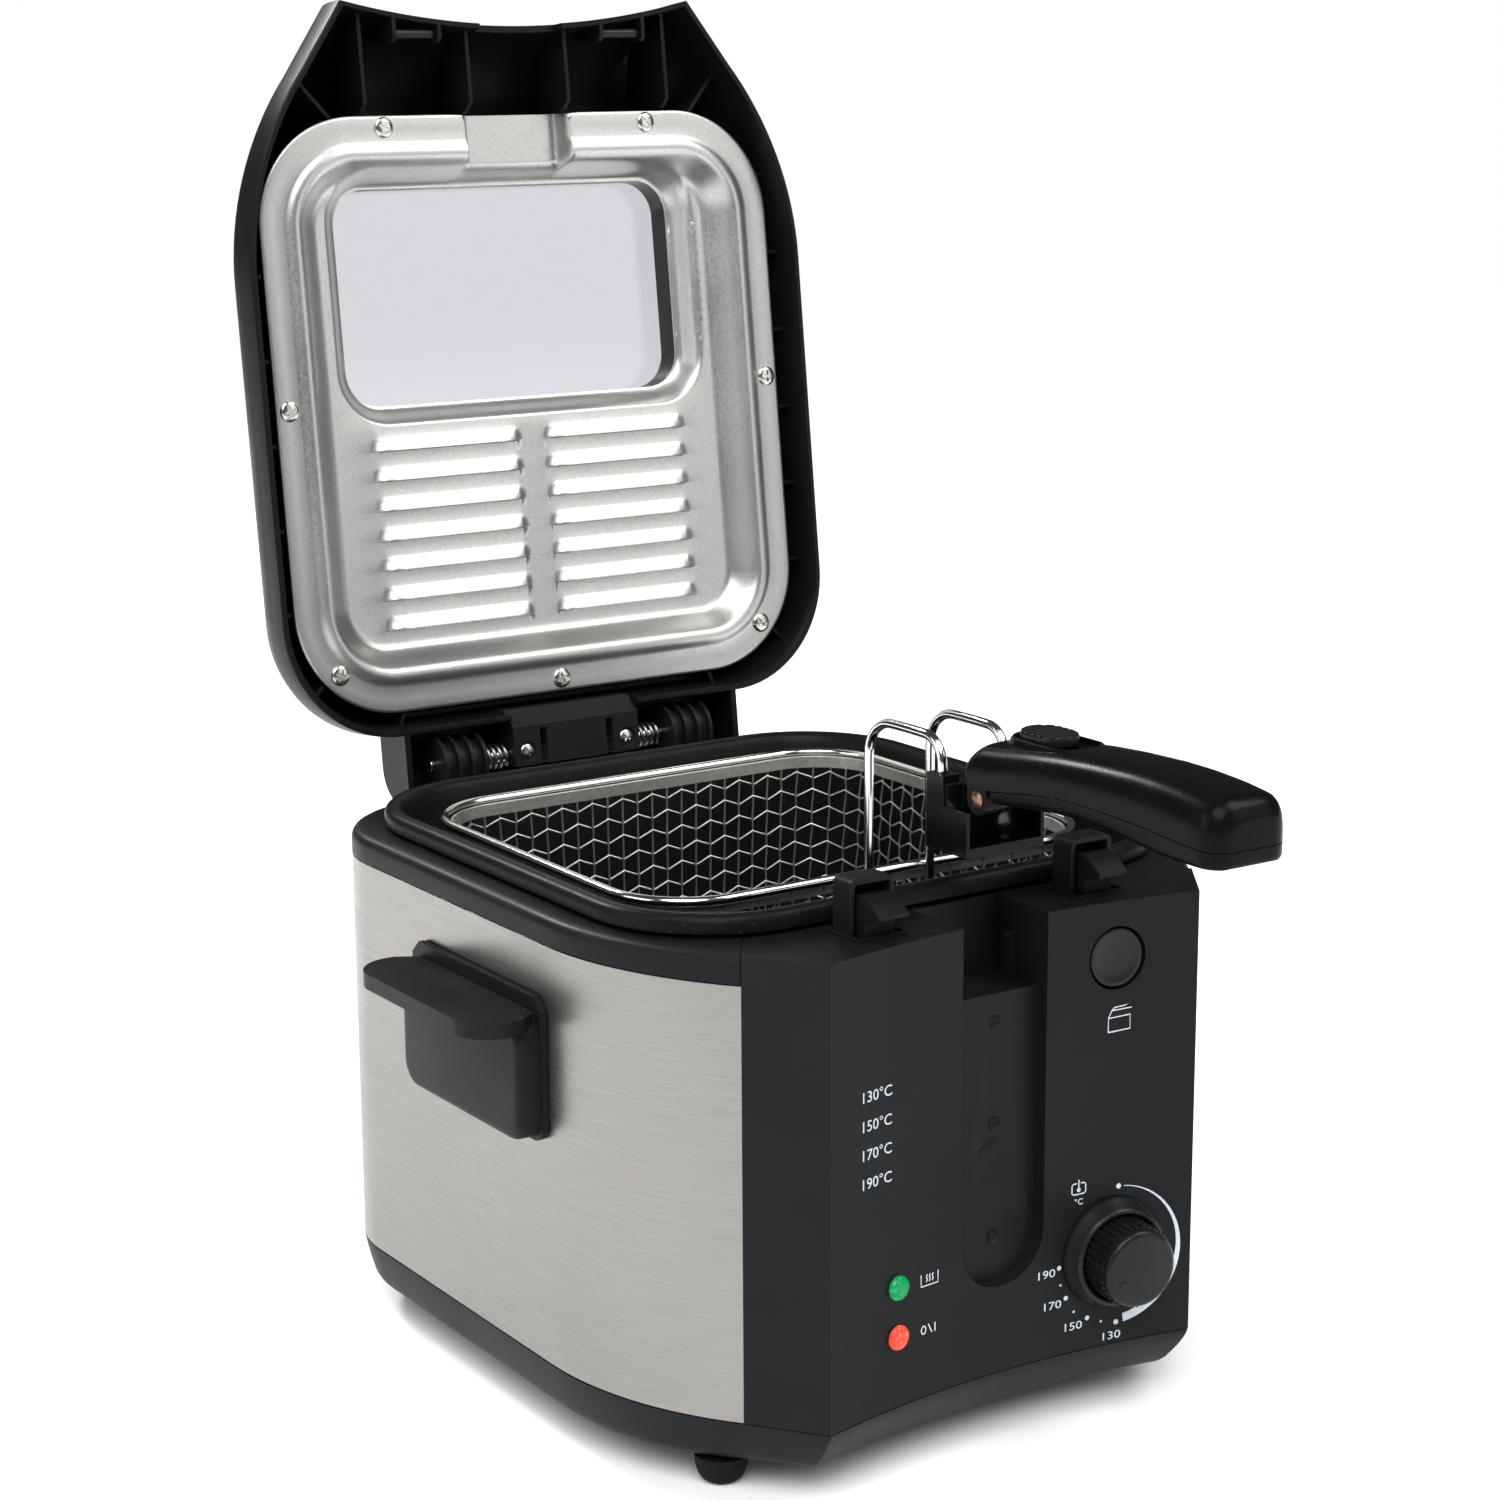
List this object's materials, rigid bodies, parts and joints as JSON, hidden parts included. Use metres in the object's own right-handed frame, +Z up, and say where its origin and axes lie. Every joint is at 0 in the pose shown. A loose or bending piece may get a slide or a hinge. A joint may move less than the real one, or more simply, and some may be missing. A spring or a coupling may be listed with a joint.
{
  "type": "deep fryer",
  "caption": "Compact deep fryer with swing-up lid, viewing window, wire basket that lowers into the pot, folding basket handle, latches and temperature knob.",
  "frame": {"origin": "on the floor under the middle of the bounding box, with the lid open and the handle out", "axes": "+Z up, -Y towards the control panel and the handle, +X towards the knob and the release button"},
  "size_m": [0.2976, 0.4608, 0.4879],
  "materials": {
    "base_tray": "fine moulded grain",
    "cord_gland": "matt",
    "steel_wrap": "satin, brushed along its length",
    "top_ring": "fine moulded grain",
    "control_panel": "fine moulded grain",
    "inner_pot": "non-stick coating",
    "heating_element": "plain drawn steel",
    "thermostat": "plated case",
    "knob_bezel": "smooth moulded",
    "lamp_green": "translucent green lens",
    "lamp_red": "translucent red lens",
    "hinge_pin": "plain drawn steel",
    "foot_front_left": "matt",
    "foot_back_left": "matt",
    "foot_front_right": "matt",
    "foot_back_right": "matt",
    "side_handle_left": "fine moulded grain",
    "latch_hood_left": "fine moulded grain",
    "latch_spring_left": "plain drawn steel",
    "hinge_knuckle_left": "fine moulded grain",
    "hinge_spring_left": "plain drawn steel",
    "side_handle_right": "fine moulded grain",
    "latch_hood_right": "fine moulded grain",
    "latch_spring_right": "plain drawn steel",
    "hinge_knuckle_right": "fine moulded grain",
    "hinge_spring_right": "plain drawn steel",
    "temperature_knob": "fine moulded grain",
    "release_button": "smooth moulded",
    "latch_link": "fine moulded grain",
    "latch_hook_left": "fine moulded grain",
    "latch_hook_right": "fine moulded grain",
    "basket_rim": "bright plated wire",
    "basket_mesh": "bright plated wire",
    "basket_hoop_left": "bright plated wire",
    "basket_hoop_right": "bright plated wire",
    "basket_bracket": "fine moulded grain",
    "handle_upper": "fine moulded grain",
    "handle_lower": "fine moulded grain",
    "handle_pin": "bright plated wire",
    "handle_slider": "fine moulded grain",
    "lid_shell": "fine moulded grain",
    "lid_liner": "stamped, satin",
    "window_frame": "fine moulded grain",
    "window_glass": "clear",
    "filter_cover": "fine moulded grain",
    "filter_mat": "felted charcoal filter",
    "hinge_block": "fine moulded grain",
    "catch_bar_left": "smooth moulded",
    "catch_bar_right": "smooth moulded"
  },
  "bodies": {
    "housing": {"base_tray": "base_tray", "cord_gland": "cord_gland", "steel_wrap": "steel_wrap", "top_ring": "top_ring", "control_panel": "control_panel", "inner_pot": "inner_pot", "heating_element": "heating_element", "thermostat": "thermostat", "knob_bezel": "knob_bezel", "lamp_green": "lamp_green", "lamp_red": "lamp_red", "hinge_pin": "hinge_pin", "foot_front_left": "foot_front_left", "foot_back_left": "foot_back_left", "foot_front_right": "foot_front_right", "foot_back_right": "foot_back_right", "side_handle_left": "side_handle_left", "latch_hood_left": "latch_hood_left", "latch_spring_left": "latch_spring_left", "hinge_knuckle_left": "hinge_knuckle_left", "hinge_spring_left": "hinge_spring_left", "side_handle_right": "side_handle_right", "latch_hood_right": "latch_hood_right", "latch_spring_right": "latch_spring_right", "hinge_knuckle_right": "hinge_knuckle_right", "hinge_spring_right": "hinge_spring_right"},
    "lid": {"lid_shell": "lid_shell", "lid_liner": "lid_liner", "window_frame": "window_frame", "window_glass": "window_glass", "filter_cover": "filter_cover", "filter_mat": "filter_mat", "hinge_block": "hinge_block", "catch_bar_left": "catch_bar_left", "catch_bar_right": "catch_bar_right"},
    "basket": {"basket_rim": "basket_rim", "basket_mesh": "basket_mesh", "basket_hoop_left": "basket_hoop_left", "basket_hoop_right": "basket_hoop_right", "basket_bracket": "basket_bracket"},
    "handle": {"handle_upper": "handle_upper", "handle_lower": "handle_lower", "handle_pin": "handle_pin"},
    "slider": {"handle_slider": "handle_slider"},
    "knob": {"temperature_knob": "temperature_knob"},
    "button": {"release_button": "release_button"},
    "latch": {"latch_link": "latch_link", "latch_hook_left": "latch_hook_left", "latch_hook_right": "latch_hook_right"}
  },
  "joints": [
    {"name": "lid_hinge", "type": "hinge", "parent": "housing", "child": "lid", "pos_m": [0, 0.16811, 0.1957], "axis": [1, 0, 0], "range_deg": [0, 96.8]},
    {"name": "basket_lift", "type": "slide", "parent": "housing", "child": "basket", "axis": [0, 0, -1], "range_m": [-0.16, 0.046]},
    {"name": "handle_fold", "type": "hinge", "parent": "basket", "child": "handle", "pos_m": [0, -0.11689, 0.2317], "axis": [1, 0, 0], "range_deg": [0, 90]},
    {"name": "handle_slider", "type": "slide", "parent": "handle", "child": "slider", "axis": [0, -1, 0], "range_m": [0, 0.009]},
    {"name": "temperature_knob", "type": "hinge", "parent": "housing", "child": "knob", "pos_m": [0.046, -0.11656, 0.0625], "axis": [0.1371, 0.9906, 0], "range_deg": [0, 270]},
    {"name": "button_press", "type": "slide", "parent": "housing", "child": "button", "axis": [0.1371, 0.9906, 0], "range_m": [0, 0.004], "stiffness_N_per_m": 600},
    {"name": "latch_release", "type": "slide", "parent": "housing", "child": "latch", "axis": [0, 1, 0], "range_m": [0, 0.004], "deforming": ["latch_spring_left", "latch_spring_right"]}
  ],
  "couplings": [
    {"joint": "basket_lift", "follows": "lid_hinge", "m_per_rad": 0.027227},
    {"joint": "handle_fold", "follows": "lid_hinge", "ratio": 0.92975},
    {"joint": "latch_release", "follows": "button_press", "ratio": 1}
  ]
}
